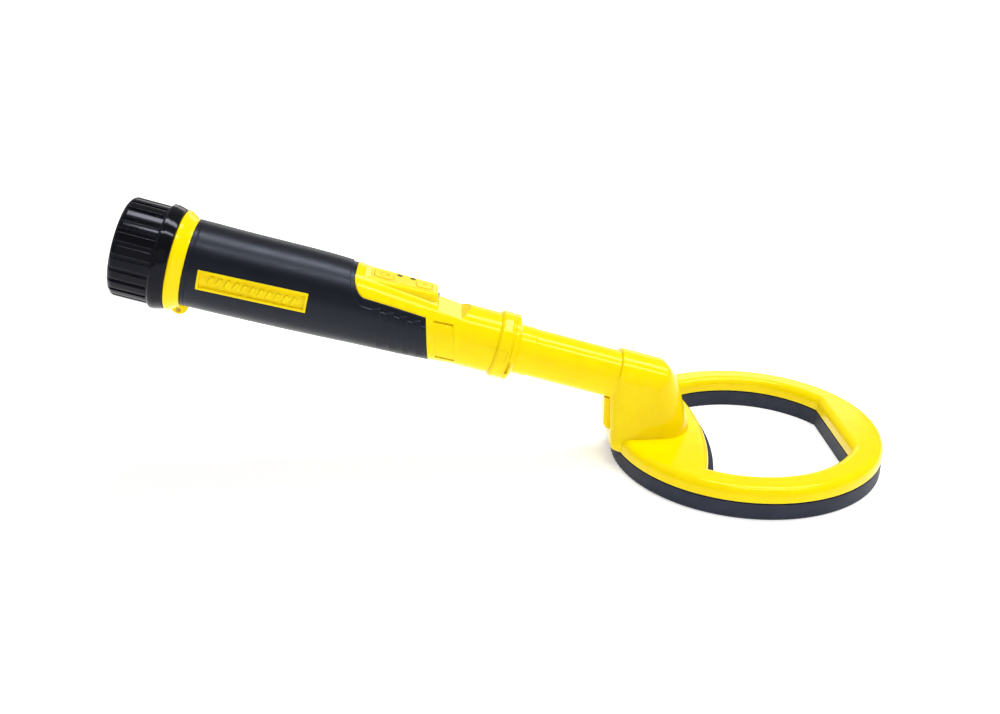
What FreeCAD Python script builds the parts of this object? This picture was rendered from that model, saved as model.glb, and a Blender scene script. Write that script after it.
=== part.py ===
"""Hand-held underwater pinpointer probe with a ring search coil, as separate pieces, in millimetres.

The model frame has the coil lying flat: +Z is up, +X points from the handle to the front of the ring, and the
origin is the middle of the bounding box at the level of the coil's underside.

Two working frames are used before the shapes are placed in the model frame:
- the ring frame has its origin on the ring's centre line at the coil's underside;
- the handle frame has its X along the handle's axis, pointing to the coil, with x = 0 above the ring's centre.
  It is tilted nose-down against the ring frame, so the handle rises to the rear.
"""
import FreeCAD
import Part
import math
import os

V = FreeCAD.Vector

# ---------------------------------------------------------------- driving dimensions: the coil
RING_R = 63.5            # outer radius of the search coil, a 5 inch ring
HOLE_R = 49.9            # radius of the round part of the hole
HOLE_CHORD_X = 43.3      # flat at the front of the hole
BULGE_EDGE_X = -20.7     # front of the plateau that carries the hub
BULGE_CORNER_X = -26.8   # where the plateau's arc meets the round hole
BASE_H = 8.4             # height of the black base
COIL_H = 15.1            # height of the coil over all
COVER_ROUND = 4.0        # rounding of the cover's outer top edge
HOLE_ROUND = 3.4         # rounding of the cover's edge round the hole
WALL = 1.9               # wall of base and cover
TROUGH_R0, TROUGH_R1 = 51.9, 61.4
LEAD_X = -56.7           # where the coil's lead rises through the hub
BASE_LIP = 2.6           # how far the base stands out from the cover under the plateau
SEAM_H, SEAM_DEPTH = 0.7, 0.45      # shadow line between base and cover

# ---------------------------------------------------------------- driving dimensions: the handle
TILT = 16.54             # nose-down angle of the handle's axis, degrees
AXIS_Z = 22.43           # height of the handle's axis over the ring's centre
CAP_S0, CAP_S1 = -294.0, -270.0      # rear and front of the end cap
CAP_FLANGE_S = -276.2    # where the fluted part ends
CAP_R, CAP_FLANGE_R = 22.1, 23.4
FLUTES = 24
COLLAR_S0, COLLAR_S1 = -269.7, -263.6
COLLAR_R0, COLLAR_R1 = 22.4, 19.9
SEAT_R = 18.7            # barrel under the collar
THREAD_CREST, THREAD_ROOT, CAP_PITCH = 18.6, 17.9, 3.0
BARREL_S0 = -289.5       # rear face of the barrel
# sections of the grip: position, height of the centre, radius
GRIP_SECTIONS = [(-270.0, 0.45, 19.40), (-263.6, 0.55, 19.40), (-230.0, 1.10, 19.15),
                 (-200.0, 1.75, 18.70), (-188.0, 1.65, 18.10), (-172.0, 1.00, 16.95),
                 (-155.0, 0.30, 15.50), (-143.0, 0.00, 14.40), (-138.0, 0.00, 14.15)]
RUBBER = 2.0             # thickness of the rubber
RIM_W = 2.1              # width of the lowered rim round the opening
RIB_PITCH, RIB_S, RIB_TOP, RIB_LOW, RIB_H = 6.0, -178.7, 7.9, -11.5, 0.4
SHELL = 2.2              # wall of the barrel
GRIP_FRONT_S = -156.6    # front edge of the rubber at the axis
CUT_S, CUT_CORNER = -193.3, 6.0                     # opening of the rubber round the control pod
CUT_HALF_REAR, CUT_HALF_FRONT, CUT_END = 15.5, 11.9, -140.0
POD_S0, POD_S1 = -189.4, -156.2                     # rear of the control pod, and its front at the top
POD_HALF_REAR, POD_HALF_FRONT = 9.3, 7.4
POD_MID, POD_TOP, POD_DIP = -171.5, 17.98, -0.5     # middle of its top face, height there, slope
POD_ROUND = 2.0
SADDLE_S0, SADDLE_S1, RAMP_S = -154.5, -143.4, -140.0    # flat between the pod and the neck, and its ramp
SADDLE_Z0, SADDLE_Z1 = 11.55, 10.5
NECK_R, NECK_S1 = 14.15, -125.0
SOCKET_R = 9.05
SPIGOT_R, SPIGOT_S1 = 12.8, -119.45
RING_NUT_S0, RING_NUT_S1, RING_NUT_R = -125.0, -115.2, 15.5
NUT_PITCH = 2.0
LIP_S, LIP_BORE, NUT_BORE = -117.05, 11.6, 12.9
STEM_NOSE_R, STEM_NOSE_S = 8.98, -135.5
STEM_FLANGE_R = 12.4
STEM_R0, STEM_R1, STEM_END, STEM_BORE = 11.45, 11.2, -50.0, 8.4
HUB_R, HUB_S0 = 12.8, -66.7
HUB_REAR_CORNER = 7.0    # rounding of the hub's upright rear corners, in plan
BADGE_S0, BADGE_S1, BADGE_H, BADGE_Z = -257.3, -210.2, 8.9, 1.8
BADGE_TILT = -2.3
EYELET_S, EYELET_Z, EYELET_R, EYELET_W = -265.0, -20.4, 3.9, 5.0
EYELET_BORE, EYELET_BORE_Z = 1.1, -22.2
PANEL_S, PANEL_HALF, PANEL_LOW, PANEL_TOP = -148.6, 4.4, -9.6, 7.9      # panel at the side of the neck

HANDLE = FreeCAD.Placement(V(0, 0, AXIS_Z), FreeCAD.Rotation(V(0, 1, 0), TILT))
POD = FreeCAD.Placement(V(POD_MID, 0, POD_TOP), FreeCAD.Rotation(V(0, 1, 0), POD_DIP))
NODES = {}               # node name: shape in the ring frame


# ---------------------------------------------------------------- helpers
def in_handle(name, shape):
    """Keeps a shape that was built in the handle frame."""
    shape = shape.copy()
    shape.Placement = HANDLE.multiply(shape.Placement)
    NODES[name] = shape


def in_ring(name, shape):
    """Keeps a shape that was built in the ring frame."""
    NODES[name] = shape


def box(x0, x1, y0, y1, z0, z1):
    return Part.makeBox(x1 - x0, y1 - y0, z1 - z0, V(x0, y0, z0))


def rod(s0, s1, r, y=0.0, z=0.0):
    """Cylinder along X."""
    return Part.makeCylinder(r, s1 - s0, V(s0, y, z), V(1, 0, 0))


def post(x, y, z0, z1, r):
    """Cylinder along Z."""
    return Part.makeCylinder(r, z1 - z0, V(x, y, z0), V(0, 0, 1))


def pipe(s0, s1, r_out, r_in, y=0.0, z=0.0):
    return rod(s0, s1, r_out, y, z).cut(rod(s0 - 1, s1 + 1, r_in, y, z))


def turned(points, axis="x"):
    """Solid of revolution from a closed outline of (position, radius) pairs; about X, or about Z with axis z."""
    if axis == "x":
        corners = [V(s, 0, r) for s, r in points]
        direction = V(1, 0, 0)
    else:
        corners = [V(r, 0, s) for s, r in points]
        direction = V(0, 0, 1)
    face = Part.Face(Part.makePolygon(corners + corners[:1]))
    solid = face.revolve(V(0, 0, 0), direction, 360)
    return Part.Solid(solid) if solid.ShapeType != "Solid" else solid


def o_ring(s, r_mid, r_cord, z=0.0):
    return Part.makeTorus(r_mid, r_cord, V(s, 0, z), V(1, 0, 0))


def rounded_plate(x0, x1, half_w, z0, z1, corner):
    """Plate with rounded vertical edges, centred on y = 0."""
    plate = box(x0, x1, -half_w, half_w, z0, z1)
    upright = [e for e in plate.Edges if abs(e.tangentAt(e.FirstParameter).z) > 0.99]
    return plate.makeFillet(corner, upright)


def edges_where(shape, test):
    """Edges whose middle point passes the test."""
    found = []
    for edge in shape.Edges:
        middle = edge.valueAt((edge.FirstParameter + edge.LastParameter) / 2)
        if test(edge, middle):
            found.append(edge)
    return found


def grip_loft(offset, s0, s1):
    """Smooth round body of the grip, inside its outer surface by offset, from s0 to s1."""
    wires = []
    for s, z, r in GRIP_SECTIONS:
        circle = Part.Circle(V(s, 0, z), V(1, 0, 0), r - offset)
        wires.append(Part.Wire(circle.toShape()))
    body = Part.makeLoft(wires, True, False)
    return body.common(box(s0, s1, -40, 40, -40, 40))


def ahead_of(s, z=0.0, length=80.0):
    """Everything in front of the upright plane that meets the handle's section at s and z."""
    block = box(0, length, -40, 40, -60, 60)
    block.Placement = FreeCAD.Placement(V(s, 0, z), FreeCAD.Rotation(V(0, 1, 0), -TILT))
    return block


def cut_window(margin, bottom):
    """Block over the control pod that opens the rubber, larger by margin; bottom is its lower face."""
    rear, front = CUT_HALF_REAR + margin, CUT_HALF_FRONT + margin
    s0 = CUT_S - margin
    plan = [V(s0, -rear, bottom), V(CUT_END, -front, bottom), V(CUT_END, front, bottom), V(s0, rear, bottom)]
    block = Part.Face(Part.makePolygon(plan + plan[:1])).extrude(V(0, 0, 60))
    corners = edges_where(block, lambda e, m: abs(m.x - s0) < 0.01 and abs(m.y) > rear - 0.1)
    return block.makeFillet(CUT_CORNER + margin, corners)


# ---------------------------------------------------------------- the coil
def hole_face(grow, lip=0.0):
    """The hole's outline in plan as a face, with its walls moved into the coil by grow. lip moves the plateau's
    edge into the hole."""
    r = HOLE_R + grow
    chord = HOLE_CHORD_X + grow
    corner_y = math.sqrt(HOLE_R ** 2 - BULGE_CORNER_X ** 2)
    sag = BULGE_EDGE_X - BULGE_CORNER_X
    bulge_r = (corner_y ** 2 + sag ** 2) / (2 * sag)
    bulge_x = BULGE_EDGE_X - bulge_r
    disc = Part.Face(Part.Wire(Part.Circle(V(0, 0, 0), V(0, 0, 1), r).toShape()))
    plateau = Part.Face(Part.Wire(Part.Circle(V(bulge_x, 0, 0), V(0, 0, 1), bulge_r - grow + lip).toShape()))
    front = Part.Face(Part.makePolygon([V(chord, -80, 0), V(100, -80, 0), V(100, 80, 0), V(chord, 80, 0),
                                        V(chord, -80, 0)]))
    return disc.cut(plateau).cut(front)


def hole_block(z0, z1, grow=0.0, lip=0.0):
    face = hole_face(grow, lip)
    face.translate(V(0, 0, z0))
    return face.extrude(V(0, 0, z1 - z0))


def rounded_disc(z0, z1, r, rounding):
    """Disc whose upper edge is rounded."""
    a = V(0, 0, z0)
    b = V(r, 0, z0)
    c = V(r, 0, z1 - rounding)
    e = V(r - rounding, 0, z1)
    f = V(0, 0, z1)
    m = rounding * (1 - math.sqrt(0.5))
    arc = Part.Arc(c, V(r - m, 0, z1 - m), e).toShape()
    wire = Part.Wire([Part.makeLine(a, b), Part.makeLine(b, c), arc, Part.makeLine(e, f), Part.makeLine(f, a)])
    return Part.Face(wire).revolve(V(0, 0, 0), V(0, 0, 1), 360)


def hub_section(z, half, rear, front):
    """Plan outline of the hub at height z: rounded corners at the rear, almost a half round at the front."""
    outline = []
    ends = [(rear, HUB_REAR_CORNER, 1), (front, half - 1.0, -1)]
    for x, corner, inward in ends:
        lean = corner * (1 - math.sqrt(0.5))
        outline.append([V(x + inward * corner, -half, z), V(x + inward * lean, lean - half, z),
                        V(x, corner - half, z), V(x, half - corner, z),
                        V(x + inward * lean, half - lean, z), V(x + inward * corner, half, z)])
    back, nose = outline
    edges = [Part.Arc(*back[0:3]).toShape(), Part.makeLine(back[2], back[3]), Part.Arc(*back[3:6]).toShape(),
             Part.makeLine(back[5], nose[5]), Part.Arc(nose[5], nose[4], nose[3]).toShape(),
             Part.makeLine(nose[3], nose[2]), Part.Arc(nose[2], nose[1], nose[0]).toShape(),
             Part.makeLine(nose[0], back[0])]
    return Part.Wire(edges)


# height, half width, rear and front of the hub
HUB_SECTIONS = [(BASE_H, 16.2, -65.6, -27.2), (15.0, 16.0, -65.8, -27.8), (22.0, 14.9, -66.0, -29.4),
                (30.0, 13.6, -66.2, -31.6), (38.0, 12.78, -66.2, -34.2), (42.5, 12.78, -66.2, -36.3),
                (46.0, 12.78, -66.2, -39.0), (48.5, 12.78, -66.2, -42.6), (50.5, 12.78, -66.2, -46.0),
                (58.0, 12.78, -66.2, -46.0)]
# the same for the heel of the black base under it
HEEL_SECTIONS = [(0.0, 13.4, -62.6, -36.0), (BASE_H, 16.2, -65.6, -33.0)]


def hub_column():
    """Column that carries the stem: leaning sides, an arched top along the handle's axis."""
    column = Part.makeLoft([hub_section(*row) for row in HUB_SECTIONS], True, False)
    low, wide, length = -60.0, 25.0, 60.0
    corners = [V(0, HUB_R, 0), V(0, wide, 0), V(0, wide, low), V(0, -wide, low), V(0, -wide, 0), V(0, -HUB_R, 0)]
    edges = [Part.makeLine(a, b) for a, b in zip(corners, corners[1:])]
    edges.append(Part.Arc(corners[-1], V(0, 0, HUB_R), corners[0]).toShape())
    arch = Part.Face(Part.Wire(edges)).extrude(V(length, 0, 0))
    rear_rim = edges_where(arch, lambda e, m: abs(m.x) < 0.01 and m.z > 1.0)
    arch = arch.makeFillet(0.7, rear_rim)
    arch.translate(V(HUB_S0, 0, 0))
    arch.Placement = HANDLE.multiply(arch.Placement)
    return column.common(arch)


def coil_cover():
    """Yellow top shell of the coil: ring and plateau, notched for the hub."""
    plate = rounded_disc(BASE_H, COIL_H, RING_R, COVER_ROUND).cut(hole_block(0, 30))
    inner_top = edges_where(plate, lambda e, m: abs(m.z - COIL_H) < 0.01 and m.x ** 2 + m.y ** 2 < 51 ** 2)
    plate = plate.makeFillet(HOLE_ROUND, inner_top)
    return plate.cut(hub_column()).cut(winding_channel())


def winding_channel():
    """Channel in the underside of cover and hub, over the winding."""
    return turned([(BASE_H - 1, TROUGH_R0), (BASE_H - 1, TROUGH_R1), (COIL_H - WALL, TROUGH_R1 - 1.2),
                   (COIL_H - WALL, TROUGH_R0)], "z")


def hub_stem(stem):
    """Hub and stem in one moulding, hollow for the lead."""
    body = hub_column().fuse(stem).removeSplitter()
    hollow = rod(-116.0, STEM_END, STEM_BORE)
    hollow.Placement = HANDLE
    return body.cut(hollow).cut(winding_channel()).cut(lead_passage()).cut(hub_back_plate())


def lead_passage():
    """Upright hole through the hub and the stem's wall for the coil's lead."""
    return post(LEAD_X, 0, BASE_H - 1.0, 38.0, 4.2)


def coil_base():
    """Black base of the coil: an open trough that holds the winding."""
    disc = Part.makeCylinder(RING_R, BASE_H)
    disc = disc.makeFillet(0.9, edges_where(disc, lambda e, m: abs(m.z) < 0.01))
    seam_low, seam_r = BASE_H - SEAM_H, RING_R - SEAM_DEPTH
    disc = disc.cut(turned([(seam_low, seam_r), (seam_low, RING_R + 1), (BASE_H + 1, RING_R + 1),
                            (BASE_H + 1, seam_r)], "z"))
    heel = Part.makeLoft([hub_section(*row) for row in HEEL_SECTIONS], True, False)
    base = disc.fuse(heel).cut(hole_block(-1, 30, 0.0, BASE_LIP))
    base = base.cut(hole_block(seam_low, 30, SEAM_DEPTH, BASE_LIP + SEAM_DEPTH))
    trough = turned([(WALL, TROUGH_R0), (WALL, TROUGH_R1), (BASE_H + 1, TROUGH_R1), (BASE_H + 1, TROUGH_R0)], "z")
    return base.cut(trough)


def winding_and_potting():
    low, high, r0, r1 = 2.6, 6.9, 53.8, 59.8
    winding = turned([(low, r0), (low, r1), (high, r1), (high, r0)], "z")
    winding = winding.makeFillet(1.4, winding.Edges)
    fill = turned([(WALL, TROUGH_R0), (WALL, TROUGH_R1), (BASE_H - 0.4, TROUGH_R1), (BASE_H - 0.4, TROUGH_R0)], "z")
    tail = post(LEAD_X, 0, 4.0, BASE_H + 1, 2.4)
    return winding, fill.cut(winding).cut(tail)


def coil_lead():
    """Screened lead from the winding up the hub and along the stem to the plug."""
    lead_r, bend = 2.2, 10.0
    x = LEAD_X
    corner = V(x, 0, AXIS_Z - x * math.tan(math.radians(TILT)))
    up = V(0, 0, 1)
    along = V(-math.cos(math.radians(TILT)), 0, math.sin(math.radians(TILT)))
    turn = math.acos(up.dot(along))
    reach = bend * math.tan(turn / 2)
    start = V(x, 0, BASE_H - 1.4)
    arc_in = corner - up * reach
    arc_out = corner + along * reach
    centre = arc_in + V(-bend, 0, 0)
    middle = centre + (corner - centre).normalize() * bend
    end = HANDLE.multVec(V(-120.5, 0, 0))
    path = Part.Wire([Part.makeLine(start, arc_in), Part.Arc(arc_in, middle, arc_out).toShape(),
                      Part.makeLine(arc_out, end)])
    ring = Part.Wire(Part.Circle(start, up, lead_r).toShape())
    return path.makePipeShell([ring], True, False)


def hub_back_plate():
    """Key plate at the rear of the hub, under the stem."""
    side = [V(-68.5, 0, 17.4), V(-66.4, 0, 15.4), V(-61.5, 0, 15.4), V(-61.5, 0, 31.5), V(-68.5, 0, 31.5)]
    face = Part.Face(Part.makePolygon(side + side[:1]))
    half = 5.4
    face.translate(V(0, -half, 0))
    plate = face.extrude(V(0, 2 * half, 0))
    upright = edges_where(plate, lambda e, m: m.x < -68.4 and abs(m.y) > half - 0.1 and 18 < m.z < 31)
    return plate.makeFillet(1.4, upright)


# ---------------------------------------------------------------- the stem and its locking ring
def coil_stem():
    """Stem of the coil: nose for the socket, flange under the locking ring, tapered tube to the hub."""
    outline = [(STEM_NOSE_S, 6.6), (STEM_NOSE_S, STEM_NOSE_R - 0.8), (STEM_NOSE_S + 0.8, STEM_NOSE_R)]
    for s in (-131.2, -126.4):
        outline += [(s - 0.8, STEM_NOSE_R), (s - 0.8, 7.7), (s + 0.8, 7.7), (s + 0.8, STEM_NOSE_R)]
    outline += [(SPIGOT_S1 + 0.05, STEM_NOSE_R), (SPIGOT_S1 + 0.05, STEM_FLANGE_R), (-117.65, STEM_FLANGE_R),
                (-117.65, STEM_R0), (-107.6, STEM_R0 - 0.1), (-107.2, STEM_R0 - 0.35), (HUB_S0, STEM_R1),
                (STEM_END, STEM_R1), (STEM_END, STEM_BORE), (-116.0, STEM_BORE), (-118.0, 6.6)]
    return turned(outline)


def locking_ring():
    """Union ring: turns on the stem and draws it into the handle's socket."""
    s0, s1, r = RING_NUT_S0, RING_NUT_S1, RING_NUT_R
    outline = [(s0, NUT_BORE), (s0, r - 0.9), (s0 + 0.9, r), (s0 + 5.4, r), (s0 + 5.8, r - 0.45),
               (s0 + 6.5, r - 0.45), (s0 + 6.9, r), (s1 - 1.3, r - 0.1), (s1, r - 2.0), (s1, LIP_BORE),
               (LIP_S, LIP_BORE), (LIP_S, NUT_BORE)]
    ring = turned(outline)
    # six pairs of shallow finger flats round the rear band
    for i in range(6):
        angle = 60.0 * i + 30.0
        pocket = box(s0 + 1.4, s0 + 5.0, -3.0, 3.0, r - 0.35, r + 3)
        pocket.rotate(V(0, 0, 0), V(1, 0, 0), angle)
        ring = ring.cut(pocket)
    # two index notches in the front band
    for angle in (109.0, 289.0):
        notch = box(s1 - 3.1, s1 - 2.1, -3.6, 3.6, r - 1.5, r + 3)
        notch.rotate(V(0, 0, 0), V(1, 0, 0), angle)
        ring = ring.cut(notch)
    return ring


def plug_parts():
    """Plug in the stem's nose, its contact pins, and the socket block in the neck that takes them."""
    plug = rod(-134.8, -120.5, 6.55)
    socket = rod(-142.0, -136.0, 9.0)
    pins = []
    for i in range(4):
        angle = math.radians(45 + 90 * i)
        y, z = 3.5 * math.cos(angle), 3.5 * math.sin(angle)
        pin = rod(-140.8, -122.0, 0.5, y, z)
        pins.append(pin)
        plug = plug.cut(rod(-136, -122.0, 0.5, y, z))
        socket = socket.cut(rod(-141.4, -135.0, 0.58, y, z))
    key = box(-137.5, -135.0, -1.2, 1.2, 6.4, 9.5)
    return plug, socket.cut(key), Part.makeCompound(pins)


# ---------------------------------------------------------------- the handle's housing
def thread_rings(s0, count, pitch, root, crest):
    """Outline points of ring-shaped thread ridges, rear to front."""
    points = []
    for i in range(count):
        s = s0 + i * pitch
        points += [(s, root), (s + 0.6, crest), (s + 1.3, crest), (s + 1.9, root)]
    return points


def barrel():
    """Yellow body of the handle, from the end cap's thread to the coil's spigot."""
    rear = turned([(BARREL_S0, 0), (BARREL_S0, THREAD_ROOT)]
                  + thread_rings(BARREL_S0 + 1.0, 4, CAP_PITCH, THREAD_ROOT, THREAD_CREST)
                  + [(-275.6, THREAD_ROOT), (-273.2, THREAD_ROOT), (-273.2, 17.15), (-271.4, 17.15),
                     (-271.4, THREAD_CREST), (COLLAR_S0 - 0.3, THREAD_CREST), (COLLAR_S0 - 0.3, SEAT_R),
                     (COLLAR_S1, SEAT_R), (COLLAR_S1, 0)])
    core = grip_loft(RUBBER, COLLAR_S1 - 2.0, SADDLE_S1)
    proud = grip_loft(0.12, CUT_S - 0.02, RAMP_S + 2.0)
    showing = proud.common(cut_window(0.0, 4.0).fuse(ahead_of(GRIP_FRONT_S)))
    body = rear.fuse([core, showing])
    # the crown is flat from the pod forward, and the saddle is sunk between pod and neck
    body = body.cut(in_pod(box(POD_S0 - POD_MID, 40.0, -30, 30, -0.2, 20)))
    body = body.cut(saddle_cutter())
    neck = rod(RAMP_S, NECK_S1, NECK_R)
    spigot = turned([(NECK_S1 - 4, 0), (NECK_S1 - 4, SPIGOT_R - 0.5)]
                    + thread_rings(NECK_S1 + 0.3, 2, NUT_PITCH, SPIGOT_R - 0.5, SPIGOT_R)
                    + [(SPIGOT_S1, SPIGOT_R - 0.5), (SPIGOT_S1, 0)])
    body = body.fuse([pod(), neck, spigot]).removeSplitter()
    # inside
    cavity = grip_loft(RUBBER + SHELL, -271.0, -158.0)
    body = body.cut(cavity)
    body = body.cut(rod(BARREL_S0 - 1, -270.0, 15.0))
    body = body.cut(rod(-160.0, -142.0, 10.4)).cut(rod(-143.0, SPIGOT_S1 + 1, SOCKET_R))
    body = body.cut(in_pod(rounded_plate(-15.8, 11.6, 5.9, -14.0, -2.6, 2.0)))
    for tool in pod_openings():
        body = body.cut(tool)
    for side in (-1, 1):
        body = body.cut(side_panel(side))
    return body


def pod():
    """Raised control pod: tapered in plan, upright at its front, with rounded edges."""
    low, end = 6.0, -148.0
    taper = (POD_HALF_REAR - POD_HALF_FRONT) / (POD_S1 - POD_S0)
    front_half = POD_HALF_REAR - taper * (end - POD_S0)
    plan = [V(POD_S0, -POD_HALF_REAR, low), V(end, -front_half, low), V(end, front_half, low),
            V(POD_S0, POD_HALF_REAR, low)]
    block = Part.Face(Part.makePolygon(plan + plan[:1])).extrude(V(0, 0, 30))
    block = block.cut(ahead_of(POD_S1, POD_TOP))
    block = block.cut(in_pod(box(-40, 40, -30, 30, 0.0, 40)))
    upright = edges_where(block, lambda e, m: abs(e.tangentAt(e.FirstParameter).z) > 0.9)
    block = block.makeFillet(POD_ROUND + 0.4, upright)
    rim = edges_where(block, lambda e, m: m.z > POD_TOP - 0.4 and abs(e.tangentAt(e.FirstParameter).z) < 0.3)
    return block.makeFillet(POD_ROUND, rim)


def saddle_cutter():
    """Block that leaves a sloping flat and a ramp between the pod's front and the neck."""
    top = 40.0
    rise = NECK_R + 1.0 - SADDLE_Z1
    side = [V(SADDLE_S0 - 20.0, 0, SADDLE_Z0), V(SADDLE_S0, 0, SADDLE_Z0), V(SADDLE_S1, 0, SADDLE_Z1),
            V(SADDLE_S1 + rise, 0, SADDLE_Z1 + rise), V(SADDLE_S1 + rise, 0, top), V(SADDLE_S0 - 20.0, 0, top)]
    face = Part.Face(Part.makePolygon(side + side[:1]))
    face.translate(V(0, -30, 0))
    return face.extrude(V(0, 60, 0)).common(ahead_of(SADDLE_S0, SADDLE_Z0))


def side_panel(side):
    """Shallow panel with two slots at the side of the barrel's front."""
    def slab(z0, z1, depth):
        block = box(-170.0, -130.0, 8.0, 25.0, z0, z1).common(ahead_of(PANEL_S - PANEL_HALF))
        block = block.cut(ahead_of(PANEL_S + PANEL_HALF))
        shell = grip_loft(-3.0, -165.0, RAMP_S + 2.0)
        return block.common(shell.cut(grip_loft(0.12 + depth, -165.0, RAMP_S + 2.0)))
    line = 0.7
    tool = slab(PANEL_LOW, PANEL_TOP, 0.18)
    tool = tool.fuse([slab(PANEL_TOP - line, PANEL_TOP, 0.9), slab(PANEL_LOW, PANEL_LOW + line, 0.9)])
    if side < 0:
        tool = tool.mirror(V(0, 0, 0), V(0, 1, 0))
    return tool


def in_pod(shape):
    shape = shape.copy()
    shape.Placement = POD.multiply(shape.Placement)
    return shape


# control pod: positions along the pod's own X
BUTTONS = {"power_button": (-9.6, 4.3, 4.6), "retune_button": (8.6, 3.6, 4.3)}     # centre, half length, half width
WINDOW_X, WINDOW_Y, WINDOW_R = (-2.7, 3.4), 4.1, 1.3
KEYPAD = (-15.2, 12.9, 5.9, 1.2)       # rear, front, half width, depth
MAT_TOP, BUTTON_TOP = 0.1, 0.4         # heights over the pod's top face
TORCH_R, TORCH_Z = 1.9, 14.5


def pod_openings():
    """Cuts in the pod: keypad recess, holes for the button stems, light guides and torch."""
    x0, x1, half, depth = KEYPAD
    tools = [in_pod(rounded_plate(x0, x1, half, -depth, 2.0, 2.0))]
    for x, _, _ in BUTTONS.values():
        tools.append(in_pod(post(x, 0, -6.0, 1.0, 1.95)))
    for x in WINDOW_X:
        tools.append(in_pod(post(x, WINDOW_Y, -6.0, 1.0, WINDOW_R)))
    tools.append(rod(-160.5, -150.0, TORCH_R, 0, TORCH_Z))
    return tools


def keypad():
    """Rubber mat in the pod's recess, with openings for the buttons and the light guides."""
    x0, x1, half, depth = KEYPAD
    mat = rounded_plate(x0 + 0.06, x1 - 0.06, half - 0.06, -depth, MAT_TOP, 1.94)
    mat = mat.makeFillet(0.1, edges_where(mat, lambda e, m: abs(m.z - MAT_TOP) < 0.01))
    for x, half_l, half_w in BUTTONS.values():
        hole = rounded_plate(x - half_l - 0.15, x + half_l + 0.15, half_w + 0.15, -3.0, 2.0, 2.35)
        mat = mat.cut(hole)
    for x in WINDOW_X:
        mat = mat.cut(post(x, WINDOW_Y, -3.0, 2.0, WINDOW_R + 0.05))
    return in_pod(mat)


def button(name):
    """Button cap with a moulded stem that reaches into its switch, and a sunk mark in its top."""
    x, half_l, half_w = BUTTONS[name]
    cap = rounded_plate(x - half_l, x + half_l, half_w, -0.5, BUTTON_TOP, 2.2)
    cap = cap.makeFillet(0.3, edges_where(cap, lambda e, m: abs(m.z - BUTTON_TOP) < 0.01))
    mark_low = BUTTON_TOP - 0.2
    stem = post(x, 0, -7.6, -0.3, 1.7)
    if name == "power_button":
        mark = post(x, 0, mark_low, 1.0, 2.4).cut(post(x, 0, 0.0, 1.2, 1.9))
        gap = box(x + 1.0, x + 3.0, -0.7, 0.7, 0.0, 1.2)
        mark = mark.cut(gap).fuse(box(x + 0.4, x + 2.8, -0.25, 0.25, mark_low, 1.0))
    else:
        mark = post(x, 0, mark_low, 1.0, 1.0)
    return in_pod(cap.fuse(stem).cut(mark))


def rear_collar():
    """Yellow conical collar behind the grip, with the lanyard eyelet under it."""
    cone = turned([(COLLAR_S0, SEAT_R), (COLLAR_S0, COLLAR_R0 - 0.4), (COLLAR_S0 + 0.4, COLLAR_R0),
                   (COLLAR_S0 + 1.6, COLLAR_R0 - 0.1), (COLLAR_S1 - 0.9, COLLAR_R1 + 0.1),
                   (COLLAR_S1, COLLAR_R1 - 0.05), (COLLAR_S1, SEAT_R)])
    half = EYELET_W / 2
    lug = Part.makeCylinder(EYELET_R, EYELET_W, V(EYELET_S, -half, EYELET_Z), V(0, 1, 0))
    root = box(EYELET_S - EYELET_R, EYELET_S + EYELET_R, -half, half, EYELET_Z, -16.0)
    lug = lug.fuse(root).removeSplitter()
    lug = lug.makeFillet(0.8, edges_where(lug, lambda e, m: abs(abs(m.y) - half) < 0.01 and m.z < EYELET_Z - 1))
    lug = lug.cut(rod(-300, COLLAR_S1, SEAT_R)).cut(grip_loft(0.0, COLLAR_S1, -200.0))
    collar = cone.fuse(lug)
    return collar.cut(Part.makeCylinder(EYELET_BORE, 20, V(EYELET_S, -10, EYELET_BORE_Z), V(0, 1, 0)))


def grip_sleeve():
    """Black rubber sleeve, open round the control pod, with windows for the badges and finger ribs."""
    sleeve = grip_loft(0.0, COLLAR_S1, -140.0).cut(grip_loft(RUBBER, COLLAR_S1 - 1, -139.0))
    sleeve = sleeve.cut(ahead_of(GRIP_FRONT_S))
    sleeve = sleeve.cut(cut_window(0.0, 4.0))
    rim = grip_loft(-3.0, CUT_S - 6, -140.0).cut(grip_loft(0.55, CUT_S - 7, -139.0))
    sleeve = sleeve.cut(rim.common(cut_window(RIM_W, 4.0)))
    bead = pipe(-261.9, -261.2, 24.0, 18.3, 0, 0.6).cut(grip_loft(0.45, -264, -258))
    sleeve = sleeve.cut(bead)
    for side in (-1, 1):
        sleeve = sleeve.cut(badge_block(side, 0.0))
    ribs = []
    band = grip_loft(-RIB_H, -186.0, -154.0).cut(grip_loft(0.6, -187.0, -153.0))
    for i in range(4):
        bar = box(-1.5, 1.5, -40, 40, RIB_LOW, RIB_TOP - 0.45 * i)
        turn = FreeCAD.Rotation(V(0, 1, 0), -TILT)
        bar.Placement = FreeCAD.Placement(V(RIB_S + RIB_PITCH * i, 0, 0), turn)
        rib = band.common(bar)
        ribs += rib.cut(box(-200, -140, -9.5, 9.5, -40, 40)).Solids
    return sleeve.fuse(ribs)


def badge_block(side, inset):
    """Box that cuts or trims a badge, on one side of the handle."""
    block = box(BADGE_S0 + inset, BADGE_S1 - inset, 8.0, 30.0, -BADGE_H / 2 + inset, BADGE_H / 2 - inset)
    block.rotate(V((BADGE_S0 + BADGE_S1) / 2, 0, 0), V(0, 1, 0), BADGE_TILT)
    block.translate(V(0, 0, BADGE_Z))
    if side < 0:
        block = block.mirror(V(0, 0, 0), V(0, 1, 0))
    return block


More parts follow.
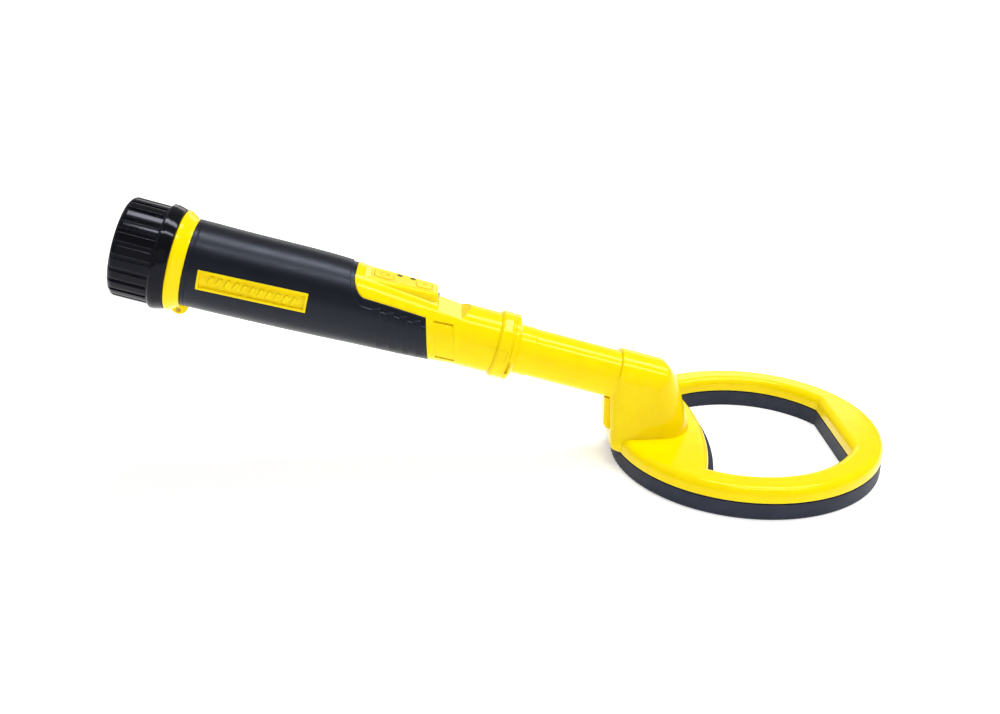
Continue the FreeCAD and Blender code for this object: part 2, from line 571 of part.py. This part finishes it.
def badge(side):
    """Framed badge plate with a row of slanted bars in place of lettering."""
    frame_w, bars = 1.15, 11
    shell = grip_loft(-0.15, -262.0, -206.0).cut(grip_loft(RUBBER, -263.0, -205.0))
    plate = shell.common(badge_block(side, 0.06))
    field = grip_loft(-2.0, -262.0, -206.0).cut(grip_loft(1.0, -263.0, -205.0))
    hollow = field.common(badge_block(side, frame_w))
    raised = []
    thin = grip_loft(0.55, -262.0, -206.0).cut(grip_loft(1.1, -263.0, -205.0))
    pitch = (BADGE_S1 - BADGE_S0 - 8.0) / bars
    for i in range(bars):
        s = BADGE_S0 + 4.0 + (i + 0.5) * pitch
        bar = box(-0.8, 0.8, 8.0, 30.0, -1.9, 1.9)
        bar.Placement = FreeCAD.Placement(V(s, 0, BADGE_Z), FreeCAD.Rotation(V(0, 1, 0), 24.0))
        if side < 0:
            bar = bar.mirror(V(0, 0, 0), V(0, 1, 0))
        raised += thin.common(bar).Solids
    return plate.cut(hollow).fuse(raised)


def end_cap():
    """Fluted screw cap at the rear, closed at the back."""
    s0, s1, r = CAP_S0, CAP_S1, CAP_R
    outline = [(s0, 0), (s0, r - 3.4), (s0 + 0.5, r - 1.7), (s0 + 1.4, r - 0.6), (s0 + 2.6, r),
               (CAP_FLANGE_S, r), (CAP_FLANGE_S, CAP_FLANGE_R - 0.5), (CAP_FLANGE_S + 0.6, CAP_FLANGE_R),
               (CAP_FLANGE_S + 2.2, CAP_FLANGE_R), (s1 - 1.2, CAP_FLANGE_R - 0.7), (s1, CAP_FLANGE_R - 1.1),
               (s1, THREAD_CREST + 0.15), (s0 + 3.1, THREAD_CREST + 0.15), (s0 + 3.1, 0)]
    cap = turned(outline)
    dish = turned([(s0 - 1, 0), (s0 - 1, 15.6), (s0 + 0.7, 14.8), (s0 + 0.7, 0)])
    cap = cap.cut(dish)
    groove = box(s0 - 1, CAP_FLANGE_S - 0.6, -0.95, 0.95, r - 0.95, r + 3)
    grooves = []
    for i in range(FLUTES):
        tool = groove.copy()
        tool.rotate(V(0, 0, 0), V(1, 0, 0), 360.0 / FLUTES * (i + 0.5))
        grooves.append(tool)
    return cap.cut(grooves)


# ---------------------------------------------------------------- inside the handle
BOARD_Z0, BOARD_Z1 = 6.0, 7.6
CELL_Z, CELL_R, CELL_S0, CELL_S1 = -2.0, 9.2, -268.0, -203.0
MOTOR_Z, MOTOR_R, MOTOR_S0, MOTOR_S1 = -4.0, 3.5, -198.0, -187.5


def inner_parts():
    parts = {}
    jack_hole = rod(-288.0, -280.0, 1.8)
    parts["charging_socket"] = rod(-286.0, -276.5, 3.6).cut(jack_hole)
    parts["rear_bulkhead"] = pipe(-283.5, -280.0, 14.95, 3.6).cut(rod(-284.5, -279.0, 0.8, 8.0, 0.0))
    parts["battery_cell"] = rod(CELL_S0, CELL_S1, CELL_R, 0, CELL_Z)
    cradle = pipe(CELL_S0 - 0.8, CELL_S1 + 0.8, CELL_R + 0.9, CELL_R + 0.1, 0, CELL_Z)
    parts["battery_cradle"] = cradle.cut(box(-280, -190, -20, 20, CELL_Z, 20))
    tabs = [rod(CELL_S0 - 0.35, CELL_S0 - 0.05, 4.0, 0, CELL_Z), rod(CELL_S1 + 0.05, CELL_S1 + 0.35, 4.0, 0, CELL_Z)]
    parts["battery_tabs"] = Part.makeCompound(tabs)
    board = rounded_plate(-200.0, -158.6, 9.3, BOARD_Z0, BOARD_Z1, 1.5)
    holes = [(-198.0, 7.2), (-198.0, -7.2)]
    for s, y in holes:
        board = board.cut(post(s, y, 0, 20, 0.9))
    parts["main_board"] = board
    screws = []
    for s, y in holes:
        screws.append(post(s, y, BOARD_Z1 + 0.01, BOARD_Z1 + 1.0, 1.5).fuse(post(s, y, 2.4, BOARD_Z1 + 0.02, 0.8)))
    parts["board_screws"] = Part.makeCompound(screws)
    chips = [box(-195.0, -188.0, -3.5, 3.5, BOARD_Z1, BOARD_Z1 + 1.1), box(-186.8, -184.8, -5.2, -1.2, BOARD_Z1, 8.6),
             box(-176.4, -172.0, -2.4, 2.4, BOARD_Z1, 8.7), box(-171.0, -167.5, -2.6, 1.0, BOARD_Z1, 8.4)]
    parts["board_chips"] = Part.makeCompound(chips)
    parts["tact_switches"] = Part.makeCompound(switches())
    lights = []
    for x in WINDOW_X:
        s = POD_MID + x
        lights.append(box(s - 0.8, s + 0.8, WINDOW_Y - 0.6, WINDOW_Y + 0.6, BOARD_Z1, BOARD_Z1 + 0.8))
    parts["status_leds"] = Part.makeCompound(lights)
    guides = [in_pod(post(x, WINDOW_Y, -8.4, 0.1, WINDOW_R - 0.02)) for x in WINDOW_X]
    parts["indicator_windows"] = Part.makeCompound(guides)
    parts["sounder"] = post(-172.0, 0, 3.4, BOARD_Z0, 6.0).cut(post(-172.0, 0, 3.0, 4.0, 1.0))
    parts["vibration_motor"] = rod(MOTOR_S0, MOTOR_S1, MOTOR_R, 0, MOTOR_Z)
    saddle = box(-196.5, -189.5, -4.6, 4.6, -9.6, -4.4).cut(rod(-200, -180, MOTOR_R + 0.02, 0, MOTOR_Z))
    parts["motor_saddle"] = saddle
    weight = rod(-186.2, -182.6, 3.2, 0, MOTOR_Z).cut(box(-190, -180, -5, 5, MOTOR_Z + 0.9, 5))
    parts["eccentric_weight"] = weight.fuse(rod(MOTOR_S1 + 0.1, -182.6, 0.75, 0, MOTOR_Z))
    parts["torch_lens"] = torch_lens()
    parts["torch_led"] = rod(-160.2, -157.6, 1.7, 0, TORCH_Z)
    return parts


def torch_lens():
    """Clear window with a slightly domed face in the pod's front."""
    front = -155.0
    lens = rod(-157.4, front, TORCH_R - 0.03, 0, TORCH_Z)
    return lens.makeFillet(0.5, edges_where(lens, lambda e, m: abs(m.x - front) < 0.01))


def switches():
    """Two switch housings on the board, each with a hole for its button's stem."""
    made = []
    for x, _, _ in BUTTONS.values():
        s = POD_MID + x
        body = box(s - 3.0, s + 3.0, -3.0, 3.0, BOARD_Z1, 11.0)
        made.append(body.cut(in_pod(post(x, 0, -8.6, 0.0, 1.85))))
    return made


# ---------------------------------------------------------------- the whole object
def build():
    in_ring("coil_cover", coil_cover())
    in_ring("coil_base", coil_base())
    winding, potting = winding_and_potting()
    in_ring("coil_winding", winding)
    in_ring("coil_potting", potting)
    in_ring("coil_lead", coil_lead().cut(winding))
    stem = coil_stem()
    stem.Placement = HANDLE
    in_ring("hub_stem", hub_stem(stem))
    seat = rod(HUB_S0 - 20, HUB_S0 + 10, STEM_R1 + 0.25)
    seat.Placement = HANDLE
    in_ring("hub_back_plate", hub_back_plate().cut(seat))
    in_handle("locking_ring", locking_ring())
    in_handle("slip_washer", pipe(-117.6, LIP_S - 0.03, 12.75, LIP_BORE + 0.05))
    plug, socket, pins = plug_parts()
    in_handle("stem_plug", plug)
    in_handle("coil_socket", socket)
    in_handle("contact_pins", pins)
    in_handle("stem_seals", Part.makeCompound([o_ring(s, 8.36, 0.64) for s in (-131.2, -126.4)]))
    in_handle("barrel", barrel())
    in_handle("rear_collar", rear_collar())
    in_handle("grip_sleeve", grip_sleeve())
    in_handle("badge_right", badge(-1))
    in_handle("badge_left", badge(1))
    in_handle("keypad", keypad())
    for name in BUTTONS:
        in_handle(name, button(name))
    in_handle("end_cap", end_cap())
    in_handle("cap_gasket", pipe(CAP_S0 + 3.15, BARREL_S0 - 0.05, 18.2, 15.4))
    in_handle("cap_seal", o_ring(-272.3, 17.9, 0.74))
    for name, shape in inner_parts().items():
        in_handle(name, shape)


def solids_of(shape):
    return shape.Solids if shape.Solids else [shape]


def shift_to_model_origin():
    """Moves everything so that the origin is the middle of the bounding box, at the coil's underside."""
    low = min(s.optimalBoundingBox(False, False).XMin for s in NODES.values())
    high = max(s.optimalBoundingBox(False, False).XMax for s in NODES.values())
    shift = -(low + high) / 2
    for shape in NODES.values():
        shape.translate(V(shift, 0, 0))
    return shift


build()
SHIFT = shift_to_model_origin()
if __name__ == "__main__":
    os.makedirs("parts", exist_ok=True)
    for node, shape in NODES.items():
        kept = Part.makeCompound(solids_of(shape)) if len(solids_of(shape)) > 1 else solids_of(shape)[0]
        if not kept.isValid():
            print("not valid:", node)
        kept.exportStep(os.path.join("parts", node + ".step"))
    print("model shift", round(SHIFT, 3), "nodes", len(NODES))
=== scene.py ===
import bpy
import bmesh
import math
from mathutils import Vector, Matrix

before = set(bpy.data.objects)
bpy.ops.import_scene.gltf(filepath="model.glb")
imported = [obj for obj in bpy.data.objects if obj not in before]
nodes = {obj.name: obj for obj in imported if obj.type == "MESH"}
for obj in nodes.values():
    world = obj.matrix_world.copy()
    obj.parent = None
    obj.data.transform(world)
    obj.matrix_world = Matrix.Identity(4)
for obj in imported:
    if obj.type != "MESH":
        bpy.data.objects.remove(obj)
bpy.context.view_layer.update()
scene = bpy.context.scene
scene.view_settings.view_transform = "Standard"

MM = 0.001
SHIFT = 111.831 * MM           # ring centre to model origin, along X

BEVEL_SAMPLES = 6
CAMERA_PLACE = (-133.45 * MM + SHIFT, -444.70 * MM, 243.30 * MM)
CAMERA_LENS, CAMERA_SENSOR = 37.866, 36.0
PITCH, YAW, ROLL = 0.4085, -0.0369, 0.0013
FLOOR_HALF = 4.0
FLOOR_GLOW = (0.42, 0.90)      # emission strength, near and far
FLOOR_GLOW_REACH = (0.4, 2.4)  # distances from the middle between which it grows
SKY_GLOW = (0.26, 0.36)        # strength at the horizon and high up
SKY_GLOW_TOP = 0.8             # height of the direction where it stops growing


# ------------------------------------------------------------------ materials
def linear(r, g, b):
    """sRGB 0-255 to a linear colour."""
    out = []
    for c in (r, g, b):
        c = c / 255.0
        out.append(c / 12.92 if c <= 0.04045 else ((c + 0.055) / 1.055) ** 2.4)
    return (out[0], out[1], out[2], 1.0)


class Mat:
    """A procedural material under construction."""

    def __init__(self, name):
        self.mat = bpy.data.materials.new(name)
        self.mat.use_nodes = True
        self.tree = self.mat.node_tree
        self.bsdf = self.tree.nodes["Principled BSDF"]
        self.coord = self.add("ShaderNodeTexCoord")

    def add(self, kind, **values):
        node = self.tree.nodes.new(kind)
        for key, value in values.items():
            setattr(node, key, value)
        return node

    def link(self, a, b):
        self.tree.links.new(a, b)

    def set(self, **values):
        for key, value in values.items():
            self.bsdf.inputs[key.replace("_", " ")].default_value = value

    def noise(self, scale, detail=3.0, rough=0.5, stretch=None):
        source = self.coord.outputs["Object"]
        if stretch:
            mapping = self.add("ShaderNodeMapping")
            mapping.inputs["Scale"].default_value = stretch
            self.link(source, mapping.inputs["Vector"])
            source = mapping.outputs["Vector"]
        node = self.add("ShaderNodeTexNoise")
        node.inputs["Scale"].default_value = scale
        node.inputs["Detail"].default_value = detail
        node.inputs["Roughness"].default_value = rough
        self.link(source, node.inputs["Vector"])
        return node.outputs["Fac"]

    def span(self, value, low, high, from_low=0.3, from_high=0.7):
        node = self.add("ShaderNodeMapRange")
        node.inputs["From Min"].default_value = from_low
        node.inputs["From Max"].default_value = from_high
        node.inputs["To Min"].default_value = low
        node.inputs["To Max"].default_value = high
        self.link(value, node.inputs["Value"])
        return node.outputs["Result"]

    def ramp(self, value, stops):
        node = self.add("ShaderNodeValToRGB")
        band = node.color_ramp
        while len(band.elements) < len(stops):
            band.elements.new(0.5)
        for element, (place, colour) in zip(band.elements, stops):
            element.position = place
            element.color = colour
        self.link(value, node.inputs["Fac"])
        return node.outputs["Color"]

    def mix(self, factor, a, b):
        node = self.add("ShaderNodeMix", data_type="RGBA")
        self.link(factor, node.inputs[0])
        self.link(a, node.inputs[6])
        node.inputs[7].default_value = b
        return node.outputs[2]

    def maths(self, operation, a, b):
        node = self.add("ShaderNodeMath", operation=operation)
        self.link(a, node.inputs[0])
        if isinstance(b, (int, float)):
            node.inputs[1].default_value = b
        else:
            self.link(b, node.inputs[1])
        return node.outputs[0]

    def soft_edge(self, radius):
        """Normal with edges rounded by radius, and a mask that is 1 on the edges."""
        bevel = self.add("ShaderNodeBevel")
        bevel.samples = BEVEL_SAMPLES
        bevel.inputs["Radius"].default_value = radius
        geometry = self.add("ShaderNodeNewGeometry")
        dot = self.add("ShaderNodeVectorMath", operation="DOT_PRODUCT")
        self.link(bevel.outputs["Normal"], dot.inputs[0])
        self.link(geometry.outputs["Normal"], dot.inputs[1])
        mask = self.span(dot.outputs["Value"], 1.0, 0.0, 0.86, 0.995)
        return bevel.outputs["Normal"], mask

    def bump(self, height, strength, distance, normal=None):
        node = self.add("ShaderNodeBump")
        node.inputs["Strength"].default_value = strength
        node.inputs["Distance"].default_value = distance
        self.link(height, node.inputs["Height"])
        if normal is not None:
            self.link(normal, node.inputs["Normal"])
        return node.outputs["Normal"]

    def out(self, colour, rough, normal=None):
        """The finished material, with its colour, roughness and normal linked."""
        for socket, value in (("Base Color", colour), ("Roughness", rough), ("Normal", normal)):
            if value is not None:
                self.link(value, self.bsdf.inputs[socket])
        return self.mat


def moulded(name, low, high, edge_wear_and_highlight, rough, grain, bevel=0.35, wear_and_highlight=0.25, specular=0.5, depth=0.00002,
            tint=(1.0, 1.0, 1.0, 1.0)):
    """Moulded plastic: slight drift of colour, a fine orange peel, edges made lighter by an edge colour that
    is partly rubbed wear and partly a painted highlight.
    """
    m = Mat(name)
    drift = m.ramp(m.noise(140.0, 4.0), [(0.32, low), (0.68, high)])
    normal, mask = m.soft_edge(bevel * MM)
    # Painted highlight mixed with wear: the bevel mask blends edges towards the lighter edge colour. On the
    # black cap and rubber the amount is high and it paints highlight lines.
    rubbed_and_highlit = m.maths("MULTIPLY", m.maths("MULTIPLY", mask, m.span(m.noise(900.0, 5.0), 0.2, 1.0)), wear_and_highlight)
    colour = m.mix(rubbed_and_highlit, drift, edge_wear_and_highlight)
    peel = m.noise(grain, 2.0, 0.55)
    scuffs = m.noise(60.0, 5.0, 0.6, (1.0, 4.0, 9.0))
    roughness = m.maths("ADD", m.span(scuffs, rough[0], rough[1]), m.maths("MULTIPLY", mask, 0.05))
    m.set(Specular_IOR_Level=specular, Specular_Tint=tint)
    return m.out(colour, roughness, m.bump(peel, 0.35, depth, normal))


YELLOW = moulded("yellow_shell", linear(251, 221, 0), linear(254, 227, 1), linear(255, 236, 40),
                 (0.10, 0.15), 900.0, bevel=0.5, specular=0.26, depth=0.00001, tint=(1.0, 0.97, 0.5, 1.0))
YELLOW_SOFT = moulded("yellow_keypad", linear(250, 218, 1), linear(252, 223, 4), linear(255, 236, 60),
                      (0.34, 0.44), 1800.0, bevel=0.25, specular=0.26, tint=(1.0, 0.97, 0.5, 1.0))
# Its pale blue-grey edge colour, at a high amount, paints a highlight along the rubber's edges as well as
# wear.
RUBBER = moulded("black_rubber", linear(9, 11, 18), linear(13, 15, 23), linear(52, 56, 72),
                 (0.30, 0.38), 2600.0, bevel=0.5, wear_and_highlight=0.7, specular=0.32, depth=0.00004,
                 tint=(0.72, 0.80, 1.0, 1.0))
# Its pale blue-grey edge colour, at a high amount, paints highlight lines along the flute edges as well as
# wear.
CAP = moulded("black_cap", linear(4, 4, 7), linear(7, 7, 12), linear(64, 64, 84), (0.09, 0.14), 1400.0,
              bevel=0.7, wear_and_highlight=0.7, specular=0.2, depth=0.00001, tint=(0.80, 0.82, 1.0, 1.0))
SLATE = moulded("slate_base", linear(36, 39, 52), linear(44, 47, 61), linear(84, 88, 104),
                (0.46, 0.56), 1700.0, bevel=0.4, wear_and_highlight=0.3, specular=0.25, tint=(0.78, 0.84, 1.0, 1.0))
INNER = moulded("inner_plastic", linear(58, 58, 62), linear(66, 66, 70), linear(110, 110, 112),
                (0.45, 0.6), 1200.0)
SEAL = moulded("seal_rubber", linear(24, 24, 26), linear(34, 34, 36), linear(70, 70, 72), (0.3, 0.45), 2200.0)
BOARD = moulded("board", linear(14, 82, 44), linear(22, 98, 54), linear(120, 150, 90), (0.25, 0.4), 3000.0)
CHIPS = moulded("chips", linear(24, 24, 27), linear(34, 34, 38), linear(80, 80, 84), (0.4, 0.55), 3600.0)
WRAP = moulded("cell_wrap", linear(28, 92, 160), linear(36, 104, 176), linear(120, 160, 200),
               (0.2, 0.32), 800.0)
POTTING = moulded("potting", linear(36, 36, 40), linear(48, 48, 52), linear(70, 70, 74), (0.3, 0.5), 500.0)
WASHER = moulded("washer", linear(222, 222, 216), linear(232, 232, 228), linear(245, 245, 242),
                 (0.35, 0.45), 1500.0)
SMOKED = moulded("smoked_window", linear(74, 60, 10), linear(92, 76, 14), linear(150, 130, 60),
                 (0.35, 0.45), 1500.0, specular=0.15)
LED = moulded("led", linear(240, 236, 190), linear(248, 244, 206), linear(255, 252, 230),
              (0.15, 0.25), 2000.0)


def metal(name, low, high, rough, streak):
    """Metal with fine streaks along one axis."""
    m = Mat(name)
    lines = m.noise(700.0, 4.0, 0.6, streak)
    colour = m.ramp(lines, [(0.3, low), (0.7, high)])
    normal, mask = m.soft_edge(0.15 * MM)
    m.set(Metallic=1.0)
    return m.out(colour, m.span(lines, rough[0], rough[1]), m.bump(lines, 0.2, 0.00001, normal))


STEEL = metal("steel", linear(150, 150, 154), linear(186, 186, 190), (0.25, 0.4), (1.0, 1.0, 12.0))
BRASS = metal("contact_metal", linear(206, 164, 84), linear(230, 192, 110), (0.2, 0.35), (1.0, 8.0, 1.0))
WIRE = metal("copper_coil", linear(176, 92, 48), linear(206, 120, 68), (0.25, 0.45), (1.0, 1.0, 30.0))


def clear(name):
    """Clear moulded lens, faintly tinted, with flow marks."""
    m = Mat(name)
    flow = m.noise(500.0, 2.0)
    m.set(IOR=1.49, Transmission_Weight=0.92)
    return m.out(m.ramp(flow, [(0.3, linear(236, 238, 226)), (0.7, linear(246, 248, 240))]),
                 m.span(flow, 0.04, 0.1), m.bump(flow, 0.1, 0.00001))


CLEAR = clear("clear_lens")

FINISH = {
    "barrel": YELLOW, "rear_collar": YELLOW, "badge_left": YELLOW, "badge_right": YELLOW,
    "coil_cover": YELLOW, "hub_stem": YELLOW, "locking_ring": YELLOW, "hub_back_plate": YELLOW,
    "keypad": YELLOW_SOFT, "power_button": YELLOW_SOFT, "retune_button": YELLOW_SOFT,
    "grip_sleeve": RUBBER, "end_cap": CAP, "coil_base": SLATE,
    "cap_gasket": SEAL, "cap_seal": SEAL, "stem_seals": SEAL, "coil_lead": SEAL,
    "coil_winding": WIRE, "coil_potting": POTTING, "slip_washer": WASHER,
    "contact_pins": BRASS, "battery_tabs": STEEL, "board_screws": STEEL, "vibration_motor": STEEL,
    "eccentric_weight": STEEL, "battery_cell": WRAP, "main_board": BOARD, "board_chips": CHIPS,
    "tact_switches": CHIPS, "status_leds": LED, "torch_led": LED, "indicator_windows": SMOKED,
    "torch_lens": CLEAR,
}
for name, node in nodes.items():
    node.data.materials.clear()
    node.data.materials.append(FINISH.get(name, INNER))

# ------------------------------------------------------------------ camera
forward = Vector((-math.sin(YAW) * math.cos(PITCH), math.cos(YAW) * math.cos(PITCH), -math.sin(PITCH)))
level_right = Vector((math.cos(YAW), math.sin(YAW), 0.0))
level_up = level_right.cross(forward)
right = level_right * math.cos(ROLL) + level_up * math.sin(ROLL)
up = level_up * math.cos(ROLL) - level_right * math.sin(ROLL)
lens = bpy.data.cameras.new("camera")
lens.sensor_width = CAMERA_SENSOR
lens.lens = CAMERA_LENS
camera = bpy.data.objects.new("camera", lens)
scene.collection.objects.link(camera)
turn = Matrix((right, up, -forward)).transposed().to_4x4()
camera.matrix_world = Matrix.Translation(Vector(CAMERA_PLACE)) @ turn
scene.camera = camera

# ------------------------------------------------------------------ floor and light
mesh = bpy.data.meshes.new("floor")
build = bmesh.new()
bmesh.ops.create_grid(build, x_segments=1, y_segments=1, size=FLOOR_HALF)
build.to_mesh(mesh)
build.free()
floor = bpy.data.objects.new("floor", mesh)
scene.collection.objects.link(floor)
paint = Mat("floor")
paint.set(Specular_IOR_Level=0.1)
spread = paint.add("ShaderNodeVectorMath", operation="LENGTH")
paint.link(paint.coord.outputs["Object"], spread.inputs[0])
paint.link(paint.span(spread.outputs["Value"], *FLOOR_GLOW, *FLOOR_GLOW_REACH),
           paint.bsdf.inputs["Emission Strength"])
paint.set(Emission_Color=(1.0, 1.0, 1.0, 1.0))
pale = paint.ramp(paint.noise(3.0), [(0.3, linear(250, 250, 250)), (0.7, linear(252, 252, 252))])
floor.data.materials.append(paint.out(pale, paint.span(paint.noise(20.0), 0.7, 0.8)))

world = bpy.data.worlds.new("studio")
scene.world = world
world.use_nodes = True
sky = world.node_tree
height = sky.nodes.new("ShaderNodeSeparateXYZ")
fade = sky.nodes.new("ShaderNodeMapRange")
fade.inputs["From Min"].default_value = 0.0
fade.inputs["From Max"].default_value = SKY_GLOW_TOP
fade.inputs["To Min"].default_value = SKY_GLOW[0]
fade.inputs["To Max"].default_value = SKY_GLOW[1]
where = sky.nodes.new("ShaderNodeTexCoord")
sky.links.new(where.outputs["Generated"], height.inputs["Vector"])
sky.links.new(height.outputs["Z"], fade.inputs["Value"])
sky.links.new(fade.outputs["Result"], sky.nodes["Background"].inputs["Strength"])
sky.nodes["Background"].inputs["Color"].default_value = (1.0, 1.0, 1.0, 1.0)


def softbox(name, place, target, size, power):
    """Rectangular lamp at place, facing target. With both at one x, its long side stays along X."""
    lamp = bpy.data.lights.new(name, "AREA")
    lamp.shape = "RECTANGLE"
    lamp.size, lamp.size_y = size
    lamp.energy = power
    obj = bpy.data.objects.new(name, lamp)
    scene.collection.objects.link(obj)
    obj.location = place
    obj.rotation_euler = (Vector(target) - Vector(place)).to_track_quat("-Z", "Y").to_euler()


softbox("strip_front", (0.42, -0.37, 1.15), (0.42, 0.0, 0.08), (1.0, 0.05), 5.6)
softbox("strip_main", (0.40, 0.21, 1.22), (0.40, 0.0, 0.08), (1.0, 0.20), 10.0)
softbox("panel_back", (0.15, 1.2, 0.45), (0.0, 0.0, 0.08), (1.0, 0.3), 1.3)
softbox("fill_front", (-0.1, -1.6, 0.55), (0.0, 0.0, 0.05), (2.0, 0.8), 1.9)
